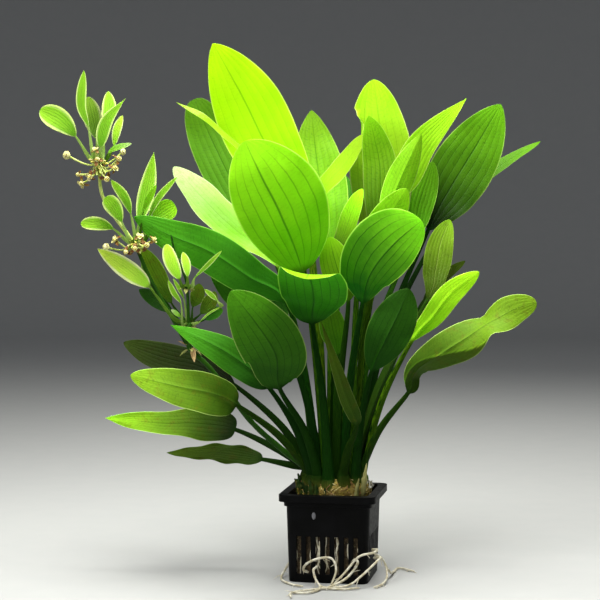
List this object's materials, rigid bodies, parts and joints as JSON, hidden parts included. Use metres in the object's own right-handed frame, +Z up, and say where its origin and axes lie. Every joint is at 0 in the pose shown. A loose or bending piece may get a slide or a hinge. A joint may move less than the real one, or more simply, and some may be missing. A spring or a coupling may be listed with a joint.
{
  "type": "potted echinodorus",
  "caption": "Tall broad-leaved sword plant with an arching flower stalk and young plantlets, rooted in a small square slotted nursery pot.",
  "frame": {"origin": "middle of the pot's flat underside, on the surface that the pot stands on", "axes": "+Z up, out of the pot's mouth; +X to the right and +Y to the back as seen from the plant's front, with the flower stalk arching to the left (-X). The pot is turned 10.5 degrees about Z."},
  "size_m": [0.4625, 0.28, 0.4852],
  "materials": {
    "leaf_bright": "thin young leaf, yellow-green, lets light through, with darker veins and a pale edge",
    "leaf_green": "full-grown leaf, mid green, soft sheen, with darker veins",
    "leaf_dark": "old or shaded leaf, dark to olive green, some brown spots",
    "flower_stalk": "dark green stalk with brownish joints and spent flowers",
    "root": "off-white fleshy roots",
    "crown": "yellow-brown fibrous rootstock",
    "medium": "brown fibrous growing medium",
    "pot": "thin black moulded plastic, satin"
  },
  "bodies": {
    "root": {"crown": "crown", "flower_stalk": "flower_stalk", "growing_medium": "medium", "leaf_back_dark": "leaf_dark", "leaf_back_left": "leaf_green", "leaf_back_middle": "leaf_bright", "leaf_behind_round": "leaf_bright", "leaf_blunt_left": "leaf_green", "leaf_brown_low": "leaf_dark", "leaf_centre_small": "leaf_green", "leaf_dark_right": "leaf_dark", "leaf_edge_on_left": "leaf_bright", "leaf_far_low_right": "leaf_dark", "leaf_far_right": "leaf_green", "leaf_folded_right": "leaf_green", "leaf_front_broad": "leaf_bright", "leaf_front_funnel": "leaf_green", "leaf_front_left": "leaf_green", "leaf_front_narrow": "leaf_green", "leaf_front_round": "leaf_green", "leaf_front_small": "leaf_green", "leaf_large_right": "leaf_green", "leaf_light_right": "leaf_green", "leaf_long_left": "leaf_dark", "leaf_low_left": "leaf_green", "leaf_lowest_left": "leaf_dark", "leaf_mid_left": "leaf_green", "leaf_middle_right": "leaf_green", "leaf_olive_left": "leaf_dark", "leaf_olive_right": "leaf_dark", "leaf_pale_left": "leaf_bright", "leaf_pale_small": "leaf_bright", "leaf_pointed_right": "leaf_bright", "leaf_slim_middle": "leaf_bright", "leaf_tall_right": "leaf_bright", "leaf_top_left": "leaf_bright", "leaf_wavy_left": "leaf_green", "leaf_wavy_right": "leaf_green", "plantlet_1_leaf_back": "leaf_bright", "plantlet_1_leaf_left": "leaf_bright", "plantlet_1_leaf_middle": "leaf_bright", "plantlet_1_leaf_right": "leaf_bright", "plantlet_1_leaf_slim": "leaf_bright", "plantlet_1_leaf_thin": "leaf_bright", "plantlet_2_leaf_disc": "leaf_bright", "plantlet_2_leaf_left": "leaf_bright", "plantlet_2_leaf_round": "leaf_bright", "plantlet_2_leaf_slim": "leaf_bright", "plantlet_2_leaf_tall": "leaf_bright", "plantlet_2_leaf_thin": "leaf_bright", "plantlet_3_leaf_large": "leaf_bright", "plantlet_3_leaf_low": "leaf_bright", "plantlet_3_leaf_olive": "leaf_bright", "plantlet_3_leaf_pale": "leaf_bright", "plantlet_3_leaf_short": "leaf_bright", "plantlet_3_leaf_thin": "leaf_bright", "pot": "pot", "roots_front": "root", "roots_left": "root", "roots_right": "root"}
  },
  "joints": []
}
